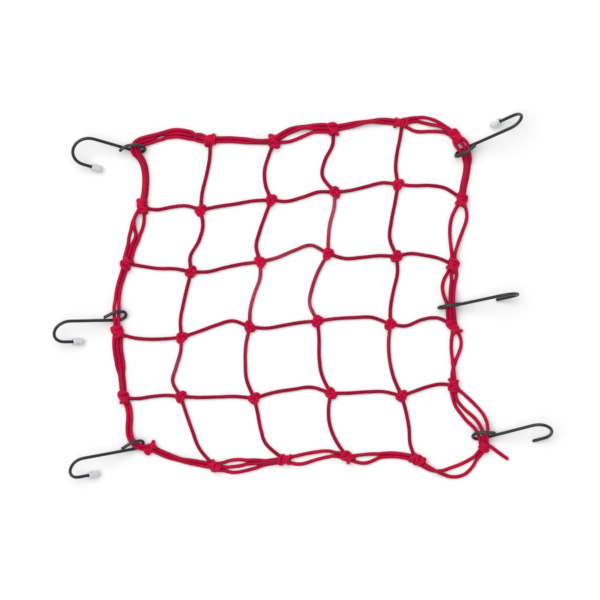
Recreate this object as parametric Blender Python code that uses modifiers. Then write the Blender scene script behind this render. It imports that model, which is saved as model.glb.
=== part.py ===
"""Elastic cargo net with six wire hooks, laid out flat on a table.

One braided elastic cord is knotted to itself: a grid of five by five cells inside a border
of two or three strands side by side. Six bent wire hooks are threaded on the border, and
four of them still have a soft cap on the point. Seen from above, +X is right and +Y is up.
The tables are in millimetres, and every object is made in metres.
"""

import math
from collections import namedtuple

import bmesh
import bpy
from mathutils import Matrix, Vector
from mathutils.geometry import interpolate_bezier

MM = 0.001

# ---- driving sizes, millimetres ----
CORD_DIAMETER = 4.2
CORD_RADIUS = CORD_DIAMETER / 2
CORD_SIDES = 6
CORD_Z = CORD_RADIUS * math.cos(math.pi / CORD_SIDES) + 0.02
WIRE_DIAMETER = 3.4
WIRE_RADIUS = WIRE_DIAMETER / 2
WIRE_SIDES = 8
EYE_WIDTH = 13.0
EYE_STRAIGHT = 14.0
EYE_LENGTH = 26.0
TAIL_GAP = 4.0
TAIL_LIFT = 3.8
CAP_RADIUS = 3.85
CAP_LENGTH = 13.0
CAP_GRIP = 5.5
CAP_BORE = 2.1
CAP_SIDES = 12
GAP = 0.3
KNOT_SIDES = 6
KNOT_SLANT = 0.28
KNOT_RISE = 0.58
MIDDLE = (0.77, -0.06)

# ---- knots: place in the net, half sizes along and across, turn of the long side ----
Knot = namedtuple("Knot", "name x y along across turn_deg")
KNOTS = (
    ("top_1", -101.5, 171, 7.0, 5.5, 20),
    ("top_2", -31, 170, 7.5, 6.0, 90),
    ("top_3", 33.5, 183.5, 7.5, 5.5, 100),
    ("top_4", 108.5, 190.5, 8.0, 5.0, 0),
    ("top_right", 168.5, 175.5, 9.0, 5.5, 130),
    ("left_1", -176, 98.5, 8.5, 5.5, 95),
    ("left_2", -193.5, 36, 7.5, 6.0, 60),
    ("left_3", -203, -39.5, 7.5, 6.0, 110),
    ("left_4", -196.5, -111.5, 7.5, 5.5, 100),
    ("low_left", -167.5, -167, 8.0, 5.0, 35),
    ("right_1", 175, 105.5, 7.5, 6.0, 80),
    ("right_2", 165.5, 34, 7.5, 6.0, 70),
    ("right_3", 166, -34, 9.0, 5.5, 125),
    ("right_4", 166, -98.5, 7.5, 5.5, 90),
    ("low_right", 199.5, -165.8, 6.0, 5.5, 80),
    ("low_1", -97, -187, 7.0, 5.5, 150),
    ("low_2", -20, -180, 7.5, 5.5, 0),
    ("low_3", 49, -177, 7.5, 5.5, 140),
    ("low_4", 126, -180, 8.5, 5.5, 155),
    ("in_11", -112, 94, 6.5, 5.5, 45),
    ("in_12", -34.5, 105.5, 6.5, 5.5, 60),
    ("in_13", 35.5, 114, 6.5, 5.5, 120),
    ("in_14", 105, 122.5, 6.5, 5.5, 45),
    ("in_21", -122.5, 26.5, 6.5, 5.5, 50),
    ("in_22", -46.5, 37.5, 6.5, 5.5, 130),
    ("in_23", 28, 46.5, 6.5, 5.5, 60),
    ("in_24", 103.5, 43.5, 6.5, 5.5, 45),
    ("in_31", -133, -45.5, 6.5, 5.5, 45),
    ("in_32", -58, -34, 6.5, 5.5, 120),
    ("in_33", 16.5, -27.5, 6.5, 5.5, 50),
    ("in_34", 96.5, -31, 6.5, 5.5, 45),
    ("in_41", -134, -110.5, 6.5, 5.5, 60),
    ("in_42", -53, -112.5, 6.5, 5.5, 45),
    ("in_43", 31, -107, 6.5, 5.5, 130),
    ("in_44", 109, -110, 6.5, 5.5, 45),
)

# ---- strands from knot to knot: how far each bows off the straight line, at its start, its
# quarters and its end, and at which quarter it rides over its neighbour. A strand that runs
# down bows along X, and one that runs across bows along Y. ----
NONE = None
Strand = namedtuple("Strand", "start end side_0 side_1 side_2 side_3 side_4 over")
STRANDS = (
    # the four lines of the grid that run down
    ("top_1", "in_11", 0, 2, 1, -1, 0, NONE),
    ("in_11", "in_21", 0, 5, 3, -3.5, 0, NONE),
    ("in_21", "in_31", 0, -2, -3.5, -4, 0, NONE),
    ("in_31", "in_41", 0, -1, -5.5, -9, 0, NONE),
    ("in_41", "low_1", 0, -3, -5.5, -7, 0, NONE),
    ("top_2", "in_12", 0, -5.5, -9, -7, 0, NONE),
    ("in_12", "in_22", 0, -3.5, -6.5, -7.5, 0, NONE),
    ("in_22", "in_32", 0, 2.5, -1, -2.5, 0, NONE),
    ("in_32", "in_42", 0, -5.5, -7.5, -7, 0, NONE),
    ("in_42", "low_2", 0, -4.5, -9.5, -11.5, 0, NONE),
    ("top_3", "in_13", 0, -1, -10, -13, 0, NONE),
    ("in_13", "in_23", 0, 1, -1.5, -1.5, 0, NONE),
    ("in_23", "in_33", 0, -7.5, -11.5, -11.5, 0, NONE),
    ("in_33", "in_43", 0, -2, -5.5, -6, 0, NONE),
    ("in_43", "low_3", 0, -7, -10, -7.5, 0, NONE),
    ("top_4", "in_14", 3, -0.5, -3, -3.5, 0, NONE),
    ("in_14", "in_24", 0, -3, -6.5, -8, 0, NONE),
    ("in_24", "in_34", 0, 2.5, 0, -1.5, 0, NONE),
    ("in_34", "in_44", 0, -5, -7, -5.5, 0, NONE),
    ("in_44", "low_4", 0, 0.5, -0.5, -3.5, -4, NONE),
    # the four lines of the grid that run across
    ("left_1", "in_11", -3, -2.5, 1.5, 4, 2, NONE),
    ("in_11", "in_12", 1, 1.5, 1.5, 2, 0, NONE),
    ("in_12", "in_13", 0, -3.5, -1, 2.5, 0, NONE),
    ("in_13", "in_14", 0, 0, 2, 4, 1, NONE),
    ("in_14", "right_1", 0, 3, 7.5, 8.5, 3, NONE),
    ("left_2", "in_21", 0, -1, -1, 1, 0, NONE),
    ("in_21", "in_22", 0, -2.5, -0.5, 0.5, 0, NONE),
    ("in_22", "in_23", 0, 2.5, 8, 11.5, 0, NONE),
    ("in_23", "in_24", 0, -4.5, -2.5, 0, 0, NONE),
    ("in_24", "right_2", 1, 5.5, 6, 5, 1, NONE),
    ("left_3", "in_31", -4, -5, -5, -3, 0, NONE),
    ("in_31", "in_32", 0, 3.5, 7.5, 9.5, 0, NONE),
    ("in_32", "in_33", 0, -3, -1.5, 0, 0, NONE),
    ("in_33", "in_34", 0, 3.5, 5.5, 6.5, 0, NONE),
    ("in_34", "right_3", 0, -1, 6.5, 9, 4, NONE),
    ("left_4", "in_41", -2, -1.5, 0.5, 1.5, 0, NONE),
    ("in_41", "in_42", 0, -0.5, 0.5, 1.5, 0, NONE),
    ("in_42", "in_43", 0, 5, 7, 8, 0, NONE),
    ("in_43", "in_44", 0, 1, 3, 4, 0, NONE),
    ("in_44", "right_4", 0, 2.5, 4.5, 4.5, 1, NONE),
    # the border along the top
    ("top_1", "top_2", 4, 4, 2.5, 0.5, 1.5, 3),
    ("top_1", "top_2", -3, -1.5, -1.5, -2, -2, NONE),
    ("top_2", "top_3", 5, 10, 9.5, 6.5, 3, NONE),
    ("top_2", "top_3", 2, 6, 8, 4.5, 2, 2),
    ("top_2", "top_3", -3, -4, -1, 2, 0, NONE),
    ("top_3", "top_4", 3, 3.5, 5, 4, 0, NONE),
    ("top_3", "top_4", 0, 1, 4, 3, -1, 2),
    ("top_4", "top_right", 3, 10, 12.5, 10, 3, NONE),
    ("top_4", "top_right", 1, 5, 6, 6, 2, 3),
    ("top_4", "top_right", -3, -6, -2, 1, -1, NONE),
    # the border down the left side
    ("left_2", "left_1", -1, -4, -5.5, -6, -4.5, NONE),
    ("left_2", "left_1", 1, 0.5, 2, -5.5, -4.5, 3),
    ("left_2", "left_1", 2, 4, 6.5, 6.5, 2, NONE),
    ("left_4", "left_3", -1.5, -2, -3, -5.5, -3, NONE),
    ("left_4", "left_3", 1.5, 2, 1.5, 1.5, 2, NONE),
    ("left_4", "left_3", 0, 0, -0.5, -2, -1, 1),
    # the border down the right side
    ("right_1", "right_2", -2, -8.5, -8.5, -4.5, -1, NONE),
    ("right_1", "right_2", 4, 8.5, 5, 1, 1, 3),
    ("right_3", "right_4", -1, -2.5, -2, 0.5, 1.5, 3),
    ("right_3", "right_4", 5, 9, 4.5, -1.5, -1.5, NONE),
    # the border along the bottom
    ("low_right", "low_4", -4, -12, -16, -16.5, -8, NONE),
    ("low_right", "low_4", -6, -25, -26, -14.5, 0, 3),
    ("low_4", "low_3", 4, 6, 5.5, 3.5, 1.5, NONE),
    ("low_4", "low_3", 0, 2.5, 1.5, -6.5, -6, NONE),
    ("low_3", "low_2", 2, 7.5, 7, 4.5, 2.5, NONE),
    ("low_3", "low_2", 0, 1.5, -1.5, -6, -4, NONE),
    ("low_2", "low_1", 1, 1, 3.5, 5, 1, NONE),
    ("low_2", "low_1", -1, -0.5, -1.5, -2.5, -1, 1),
    ("low_2", "low_1", -3, -4, -7.5, -9, -4, NONE),
    ("low_1", "low_left", 1, 1, -2, -1.5, 1, 2),
    ("low_1", "low_left", -1, -4.5, -5, -4, -1, NONE),
)

# ---- hooks: where the shank's line meets the round end of the eye, the way the shank heads,
# its length, how far the hook is rolled on its shank, how much further the eye is turned, the
# throat between shank and point, the depth of the bend, how far the point runs back from the
# bend's crown, which side it opens on, whether its tail lies beside the shank or across it,
# and whether its point has a cap. They were bent by hand, so no two throats are alike. ----
LEFT, RIGHT = 1, -1
BESIDE, ACROSS = "beside", "across"
Hook = namedtuple(
    "Hook",
    "name x y heading_deg length roll_deg eye_turn_deg throat depth back opens tail capped",
)
HOOKS = (
    ("top_left", -176.3, 157.3, 164.6, 76.6, 20.9, 39.1, 31.7, 17.5, 33.2, LEFT, ACROSS, True),
    ("mid_left", -195.8, -26.4, 181.0, 80.1, 36.0, 8.0, 28.2, 15.0, 30.4, LEFT, BESIDE, True),
    ("low_left", -176.3, -166.5, 189.5, 84.6, 43.4, 8.1, 27.8, 12.0, 29.7, LEFT, BESIDE, True),
    ("top_right", 170.0, 158.6, 23.2, 84.1, 58.4, 7.6, 22.7, 12.2, 35.8, LEFT, BESIDE, True),
    ("mid_right", 153.0, -13.5, 12.4, 86.0, 81.5, 0.5, 25.9, 10.5, 30.9, RIGHT, BESIDE, False),
    ("low_right", 190.5, -158.5, 15.7, 84.1, 51.5, 3.5, 28.7, 14.2, 28.4, RIGHT, BESIDE, False),
)


# ---- strands threaded through a hook's eye: their route between two knots, millimetres.
# Each is lifted over the shank and passes under the free wire of the eye. ----
THREADED = (
    ("top_1", "left_1", ((-123, 177.5, 2), (-137, 184, 2), (-153, 179.5, 5.8), (-167, 175, 3),
                         (-178, 172, 3.2), (-186, 168, 7.5), (-188.6, 161.6, 10.2), (-183.5, 155, 8),
                         (-178, 148, 3.5), (-174.3, 134.6, 2), (-174.5, 117, 2))),
    ("top_1", "left_1", ((-121, 176.5, 2), (-142, 178.5, 2), (-158, 177.5, 2), (-168, 172.5, 2),
                         (-177, 170, 3), (-182.5, 165.5, 6), (-184.4, 160.2, 8.6), (-179.5, 153.5, 8),
                         (-174.5, 146, 6.2), (-172.5, 134, 5.5), (-172.5, 120, 5.4))),
    ("top_1", "left_1", ((-131, 176, 2), (-152.5, 172.5, 2), (-164, 168.5, 2), (-172.5, 168, 2),
                         (-179.5, 165, 5), (-181.4, 159.6, 7.7), (-178.8, 155, 7), (-173.5, 149, 3.2),
                         (-170.8, 134, 2), (-171, 117, 2))),
    ("left_3", "left_2", ((-206, -33, 6.5), (-206.8, -27, 10.5), (-206.7, -18, 9.3), (-206.8, -8, 5),
                          (-204.4, 8.5, 2), (-199, 23, 2))),
    ("left_3", "left_2", ((-201.8, -33, 5.5), (-202, -27, 7.4), (-201.6, -17, 7.2), (-201.5, -8, 4),
                          (-199.8, 8.5, 2), (-196, 25, 2))),
    ("left_4", "low_left", ((-194, -122, 2), (-192, -134.5, 2), (-192.8, -149, 3), (-190, -159, 6.5),
                            (-185, -165, 8.5), (-178, -168, 7))),
    ("left_4", "low_left", ((-189.5, -118, 2), (-187.5, -128, 2), (-188.5, -139, 2), (-189, -150, 3.5),
                            (-186, -158.5, 7), (-180, -163.2, 8.4), (-175, -165, 7.6))),
    ("top_right", "right_1", ((165, 169, 4), (169, 164, 5.8), (172.5, 160, 6.7), (175.5, 155.5, 5.8),
                              (178, 149, 3), (178.3, 136.5, 2), (175, 122.5, 2))),
    ("top_right", "right_1", ((173.5, 169, 6.3), (176.8, 164, 9.9), (178.6, 160, 10.2), (180, 155.5, 8.6),
                              (181.3, 148, 5.8), (180.3, 136.5, 5.4), (177.3, 122.5, 5.4))),
    ("top_right", "right_1", ((177, 173, 6.5), (180.7, 168.8, 11.1), (182.3, 163.5, 12.8),
                              (183.6, 157.5, 11.5), (184, 149, 4.5), (182.6, 136.5, 2), (179.5, 122.5, 2))),
    ("right_2", "right_3", ((160.3, 28, 2), (155.7, 19, 2), (153.2, 10.7, 2.3), (155, 0.8, 4.5),
                            (157.8, -8, 7.6), (159, -17, 6.2), (159.6, -27, 3))),
    ("right_2", "right_3", ((164, 24, 2), (162.7, 13.4, 3), (162, 0, 6.5), (162.4, -8, 9.3),
                            (162.6, -15, 9), (164, -26, 5.2))),
    ("right_2", "right_3", ((170.4, 25.4, 2), (168.3, 16.3, 2.5), (166.5, 6, 5), (166.2, -4, 10.7),
                            (166.6, -12, 12.3), (166.8, -19, 8.5), (166.5, -28, 4))),
    ("right_4", "low_right", ((164.6, -107, 2), (165.7, -118, 2), (173.8, -128.7, 2), (180.3, -137.5, 2.5),
                              (187.3, -143, 4.5), (192, -149, 6.3), (194.5, -157, 6.9))),
    ("right_4", "low_right", ((168.7, -111.4, 2), (173.8, -119.9, 2), (179, -125.6, 2), (189.4, -134, 3),
                              (195, -142, 5.5), (198, -149, 8.1), (198.8, -156.5, 8.6))),
    ("right_4", "low_right", ((173, -104, 2), (184.5, -114.4, 2), (193, -123, 2), (199.2, -130.6, 3),
                              (202.7, -139, 6.5), (203.7, -148.5, 10.3), (203.2, -155.5, 10.9))),
)
TAIL = ("low_right", ((205.5, -165, 4.5), (214, -171, 2.5), (226, -179.5, 2)))


# ---- curves ----
def smooth(points, count):
    """Evenly spread points of a cord: a smooth curve through the given ones, never below the floor."""
    points = [Vector(point) for point in points]
    ends = [points[0] * 2 - points[1], *points, points[-1] * 2 - points[-2]]
    fine = []
    for before, start, end, after in zip(ends, ends[1:], ends[2:], ends[3:]):
        fine += interpolate_bezier(start, start + (end - before) / 6, end - (after - start) / 6, end, 9)[:-1]
    fine.append(points[-1])
    run = [0.0]
    for one, other in zip(fine, fine[1:]):
        run.append(run[-1] + (other - one).length)
    found = []
    index = 1
    for step in range(count):
        goal = run[-1] * step / (count - 1)
        while run[index] < goal and index < len(run) - 1:
            index += 1
        share = (goal - run[index - 1]) / (run[index] - run[index - 1])
        point = fine[index - 1].lerp(fine[index], share)
        point.z = max(point.z, CORD_Z)
        found.append(point)
    return found


def mesh_object(name, data):
    thing = bpy.data.objects.new(name, data)
    bpy.context.scene.collection.objects.link(thing)
    return thing


def tube(name, points, radius, sides, turn=0.0):
    """A closed tube along the points, made from a bevelled poly curve and kept as a mesh."""
    data = bpy.data.curves.new(name, "CURVE")
    data.dimensions = "3D"
    data.twist_mode = "Z_UP"
    data.bevel_depth = radius * MM
    data.bevel_resolution = (sides - 4) // 2
    data.use_fill_caps = True
    spline = data.splines.new("POLY")
    spline.points.add(len(points) - 1)
    for place, point in zip(spline.points, points):
        place.co = (*(Vector(point) * MM), 1)
        place.tilt = turn
    curve = mesh_object(name + "_line", data)
    bpy.context.view_layer.update()
    evaluated = curve.evaluated_get(bpy.context.evaluated_depsgraph_get())
    mesh = bpy.data.meshes.new_from_object(evaluated)
    bpy.data.objects.remove(curve)
    shape = bmesh.new()
    shape.from_mesh(mesh)
    bmesh.ops.remove_doubles(shape, verts=shape.verts, dist=1e-6)
    bmesh.ops.recalc_face_normals(shape, faces=shape.faces)
    shape.to_mesh(mesh)
    shape.free()
    return mesh_object(name, mesh)


# ---- the net ----
PLACES = {row[0]: Vector((row[1], row[2], CORD_Z * 2)) for row in KNOTS}
# each ring of a knot: where it stands on the half length, and its share of the half width
RIM_RINGS = ((-1.0, 0.45), (-0.66, 0.98), (-0.33, 0.76), (0.0, 1.04), (0.33, 0.76), (0.66, 0.98), (1.0, 0.45))
INNER_RINGS = ((-1.0, 0.5), (-0.5, 1.02), (0.0, 0.78), (0.5, 1.02), (1.0, 0.5))


def knot(row):
    """A lump with two or three slanting wraps round its long axis and a flat underside."""
    row = Knot(*row)
    shape = bmesh.new()
    rings = []
    for place, share in INNER_RINGS if row.name.startswith("in_") else RIM_RINGS:
        ring = []
        for step in range(KNOT_SIDES):
            angle = 2 * math.pi * step / KNOT_SIDES
            side = row.across * share * math.cos(angle)
            up = row.across * (KNOT_RISE + share * math.sin(angle))
            reach = row.along * place + KNOT_SLANT * side
            ring.append(shape.verts.new(Vector((reach, side, max(up, 0))) * MM))
        rings.append(ring)
    for one, other in zip(rings, rings[1:]):
        for step in range(KNOT_SIDES):
            after = (step + 1) % KNOT_SIDES
            shape.faces.new((one[step], one[after], other[after], other[step]))
    shape.faces.new(rings[0][::-1])
    shape.faces.new(rings[-1])
    bmesh.ops.recalc_face_normals(shape, faces=shape.faces)
    turn = Matrix.Rotation(math.radians(row.turn_deg), 4, "Z")
    shape.transform(Matrix.Translation((row.x * MM, row.y * MM, 0)) @ turn)
    mesh = bpy.data.meshes.new("knot_" + row.name)
    shape.to_mesh(mesh)
    shape.free()
    return mesh_object("knot_" + row.name, mesh)


END_SHARE = 0.4
STILL_BOW = 4.5
OVER_RISE = 3.9
TIDY_DEG = 2


def strand_stations(row):
    """Stations of one strand: straight from knot to knot, plus its bow at each quarter."""
    row = Strand(*row)
    line = PLACES[row.end] - PLACES[row.start]
    aside = Vector((0, 1, 0)) if abs(line.x) > abs(line.y) else Vector((1, 0, 0))
    sides = (row.side_0 * END_SHARE, row.side_1, row.side_2, row.side_3, row.side_4 * END_SHARE)
    stations = []
    for quarter, side in enumerate(sides):
        point = PLACES[row.start] + line * quarter / 4 + aside * side
        if 0 < quarter < 4:
            point.z = CORD_Z + (OVER_RISE if quarter == row.over else 0)
        stations.append(point)
    return stations


def net():
    """All knots and strands, made one body by an exact Boolean union."""
    pieces = [knot(row) for row in KNOTS]
    for index, row in enumerate(STRANDS):
        line = Strand(*row)
        if line.over is not NONE or line.side_0 or line.side_4:
            count = 6
        else:
            count = 5 if max(abs(line.side_1), abs(line.side_2), abs(line.side_3)) > STILL_BOW else 4
        pieces.append(tube(f"strand_{index}", smooth(strand_stations(row), count), CORD_RADIUS, CORD_SIDES))
    for index, (start, end, route) in enumerate(THREADED):
        points = [PLACES[start], *route, PLACES[end]]
        pieces.append(tube(f"threaded_{index}", smooth(points, len(points) - 1), CORD_RADIUS, CORD_SIDES))
    pieces.append(tube("tail", smooth([PLACES[TAIL[0]], *TAIL[1]], 5), CORD_RADIUS, CORD_SIDES))

    return joined("net", pieces)


def joined(name, pieces):
    """The pieces as one body: an exact Boolean union, without the pockets that it closes off."""
    operands = bpy.data.collections.new(name + "_operands")
    bpy.context.scene.collection.children.link(operands)
    for piece in pieces[1:]:
        bpy.context.scene.collection.objects.unlink(piece)
        operands.objects.link(piece)
        piece.hide_render = True
        piece.display_type = "WIRE"
    first = pieces[0]
    union = first.modifiers.new("union", "BOOLEAN")
    union.operation = "UNION"
    union.operand_type = "COLLECTION"
    union.collection = operands
    union.solver = "EXACT"
    bpy.context.view_layer.update()
    mesh = bpy.data.meshes.new_from_object(first.evaluated_get(bpy.context.evaluated_depsgraph_get()))
    mesh.name = name
    for piece in pieces:
        bpy.data.objects.remove(piece)
    bpy.data.collections.remove(operands)

    shape = bmesh.new()
    shape.from_mesh(mesh)
    unseen = set(shape.faces)
    shells = []
    while unseen:
        shell = [unseen.pop()]
        for face in shell:
            beside = {other for edge in face.edges for other in edge.link_faces} & unseen
            unseen -= beside
            shell += beside
        shells.append(shell)
    shells.sort(key=len)
    pockets = [face for shell in shells[:-1] for face in shell]
    bmesh.ops.delete(shape, geom=pockets, context="FACES")
    shape.to_mesh(mesh)
    shape.free()

    whole = mesh_object(name, mesh)
    tidy = whole.modifiers.new("tidy", "DECIMATE")
    tidy.decimate_type = "DISSOLVE"
    tidy.angle_limit = math.radians(TIDY_DEG)
    return whole


# ---- the hooks and their caps ----
def hook_outline(row):
    """Points (along the shank, towards the open side, up) of the wire, from tail to point.

    The tail runs back beside or across the shank, round the eye, along the shank and round
    the bend. The eye may be turned about the shank.
    """
    eye = EYE_WIDTH / 2
    throat = row.throat / 2
    loop = [(EYE_STRAIGHT + 2, -EYE_WIDTH + 1.2), (EYE_STRAIGHT - 3, -EYE_WIDTH)]
    if row.tail == BESIDE:
        loop.insert(0, (EYE_LENGTH, -TAIL_GAP))
    for step in range(7):
        angle = math.radians(-90 - 30 * step)
        loop.append((eye + eye * math.cos(angle), -eye + eye * math.sin(angle)))
    turn = math.radians(row.eye_turn_deg)
    line = [(u, v * math.cos(turn), -v * math.sin(turn)) for u, v in loop]
    if row.tail == ACROSS:
        line = [(EYE_LENGTH + 1, TAIL_GAP, TAIL_LIFT), (EYE_LENGTH - 3, -TAIL_GAP, TAIL_LIFT + 1), *line]
    line.append((row.length - row.depth - 8, 0, 0))
    for step in range(10):
        angle = math.radians(-90 + 20 * step)
        reach = row.length - row.depth + row.depth * math.cos(angle)
        line.append((reach, throat + throat * math.sin(angle), 0))
    line.append((row.length - row.back, row.throat, 0))
    return line


def hook_frame(row):
    """Turns the hook's flat outline to its heading and roll, and pitches it until it rests.

    It rests on two places: the lowest of its eye and its point, or the end of the point's cap.
    """
    heading = math.radians(row.heading_deg)
    roll = math.radians(row.roll_deg)
    eye = [point for point in hook_outline(row) if point[0] <= EYE_LENGTH]
    tip = row.length - row.back - (CAP_LENGTH - CAP_GRIP if row.capped else 0)
    tip_radius = CAP_RADIUS if row.capped else WIRE_RADIUS
    low, high = 0.0, math.radians(60)
    for _ in range(40):
        pitch = (low + high) / 2
        fall = math.sin(roll) * math.cos(pitch)
        rise = math.cos(roll) * math.cos(pitch)
        lowest = min(u * math.sin(pitch) - v * fall + w * rise for u, v, w in eye)
        tip_low = tip * math.sin(pitch) - row.throat * fall - (tip_radius - WIRE_RADIUS) * math.cos(pitch)
        if tip_low < lowest:
            low = pitch
        else:
            high = pitch
    level = math.cos(pitch)
    along = Vector((math.cos(heading) * level, math.sin(heading) * level, math.sin(pitch)))
    left = Vector((-math.sin(heading), math.cos(heading), 0))
    upward = along.cross(left)
    aside = left * row.opens * math.cos(roll) - upward * math.sin(roll)
    normal = along.cross(aside)
    frame = Matrix((along, aside, normal)).transposed().to_4x4()
    frame.translation = Vector((row.x, row.y, WIRE_RADIUS - lowest)) * MM
    return frame


def hook(row):
    """A bent wire laid on the floor, with a flat of its eight sides facing into the throat."""
    points = [(u, v, w * row.opens) for u, v, w in hook_outline(row)]
    wire = tube("hook_" + row.name, points, WIRE_RADIUS, WIRE_SIDES, math.pi / WIRE_SIDES)
    wire.matrix_world = hook_frame(row)
    return wire


def cap(row, wire):
    """A soft cap turned from its profile, closed at one end, on the point of the wire."""
    profile = (
        (0, CAP_LENGTH), (CAP_RADIUS * 0.6, CAP_LENGTH - 0.3), (CAP_RADIUS * 0.93, CAP_LENGTH - 1.6),
        (CAP_RADIUS, CAP_LENGTH - 3.5), (CAP_RADIUS, 0.5), (CAP_RADIUS - 0.5, 0),
        (CAP_BORE, 0), (CAP_BORE, CAP_GRIP + GAP), (0, CAP_GRIP + GAP),
    )
    mesh = bpy.data.meshes.new("cap_" + row.name)
    edges = [(i, i + 1) for i in range(len(profile) - 1)]
    mesh.from_pydata([(x * MM, 0, z * MM) for x, z in profile], edges, [])
    turned = mesh_object("cap_" + row.name, mesh)
    screw = turned.modifiers.new("turn", "SCREW")
    screw.steps = CAP_SIDES
    screw.render_steps = CAP_SIDES
    screw.use_merge_vertices = True
    screw.merge_threshold = 0.00001
    turned.parent = wire
    turned.location = ((row.length - row.back + CAP_GRIP) * MM, row.throat * MM, 0)
    turned.rotation_euler = (0, -math.pi / 2, 0)
    return turned


# ---- finishes: linear colour, roughness ----
CORD_RED = (0.50, 0.006, 0.045)
WIRE_BLACK = (0.022, 0.022, 0.024)
CAP_WHITE = (0.80, 0.81, 0.84)


def finish(things, name, colour, roughness):
    """One Principled material for each thing."""
    for thing in things:
        material = bpy.data.materials.new(f"{name}_{thing.name}")
        material.use_nodes = True
        shader = material.node_tree.nodes["Principled BSDF"]
        shader.inputs["Base Color"].default_value = (*colour, 1)
        shader.inputs["Roughness"].default_value = roughness
        thing.data.materials.clear()
        thing.data.materials.append(material)


def main():
    for thing in list(bpy.data.objects):
        bpy.data.objects.remove(thing)
    parts = bpy.data.collections.new("cargo_net")
    bpy.context.scene.collection.children.link(parts)

    whole = net()
    rows = [Hook(*row) for row in HOOKS]
    wires = [hook(row) for row in rows]
    caps = [cap(row, wire) for row, wire in zip(rows, wires) if row.capped]
    finish([whole], "cord", CORD_RED, 0.7)
    finish(wires, "wire", WIRE_BLACK, 0.35)
    finish(caps, "cap", CAP_WHITE, 0.3)
    for thing in [whole, *wires, *caps]:
        bpy.context.scene.collection.objects.unlink(thing)
        parts.objects.link(thing)

    # the origin is the middle of the whole outline, on the floor
    shift = Matrix.Translation((-MIDDLE[0] * MM, -MIDDLE[1] * MM, 0))
    for thing in [whole, *wires]:
        thing.matrix_world = shift @ thing.matrix_world
    bpy.context.view_layer.update()


main()
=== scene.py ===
# %% [markdown]
# # An elastic cargo net with six wire hooks
#
# The net lies flat, as it was dropped on a table. One braided elastic cord is tied to itself
# as a square mesh, its border is two or three strands side by side, and six bent wire hooks
# hang on that border. Four hooks still have a soft cap on the point.
#
# The packed solids already hold the right sizes and places. This script keeps their sizes and
# makes a finer surface for each of them: round braided cord, wound knots, coated wire and
# milky caps. First the solids are loaded.

# %% Load the solids
import math
from collections import namedtuple

import bpy
import numpy as np
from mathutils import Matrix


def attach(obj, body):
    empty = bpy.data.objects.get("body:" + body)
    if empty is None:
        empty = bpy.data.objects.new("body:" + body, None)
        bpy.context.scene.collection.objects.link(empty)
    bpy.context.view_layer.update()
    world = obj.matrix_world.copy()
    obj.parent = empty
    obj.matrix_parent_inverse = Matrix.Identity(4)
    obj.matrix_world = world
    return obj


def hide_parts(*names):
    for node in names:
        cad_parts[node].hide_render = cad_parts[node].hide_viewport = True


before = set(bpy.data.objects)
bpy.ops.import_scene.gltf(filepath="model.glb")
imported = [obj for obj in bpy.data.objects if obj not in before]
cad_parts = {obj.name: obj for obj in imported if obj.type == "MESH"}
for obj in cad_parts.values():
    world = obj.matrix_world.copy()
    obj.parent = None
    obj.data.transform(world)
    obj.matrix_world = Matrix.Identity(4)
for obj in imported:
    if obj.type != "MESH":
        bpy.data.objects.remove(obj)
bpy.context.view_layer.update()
print("solids:", ", ".join(sorted(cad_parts)))

# %% [markdown]
# ## Sizes
#
# Lengths are in millimetres, because a cord maker thinks in them, and MM turns them into
# Blender's metres at the last moment. The wire is given bare and with its coating. The tables
# below give places as they were read off the net, and MIDDLE is the middle of the whole
# outline, which is the origin of the solids.

# %% Sizes in millimetres
MM = 0.001
MIDDLE = np.array((0.77, -0.06, 0.0))
CORD_DIAMETER = 4.0
CORD_RADIUS = CORD_DIAMETER / 2
WIRE_RADIUS = 1.7
COATED_RADIUS = 1.8
print(f"cord {CORD_DIAMETER} mm, wire {2 * WIRE_RADIUS} mm, coated {2 * COATED_RADIUS} mm")

# %% [markdown]
# ## Where the knots lie
#
# The cord's route is a table, since nobody can compute how a soft net falls. A knot has a
# place, half its length and half its width, and the turn of its long side. Names that start
# with in_ are the knots inside the net, by row and column; the others are on its border.

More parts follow.
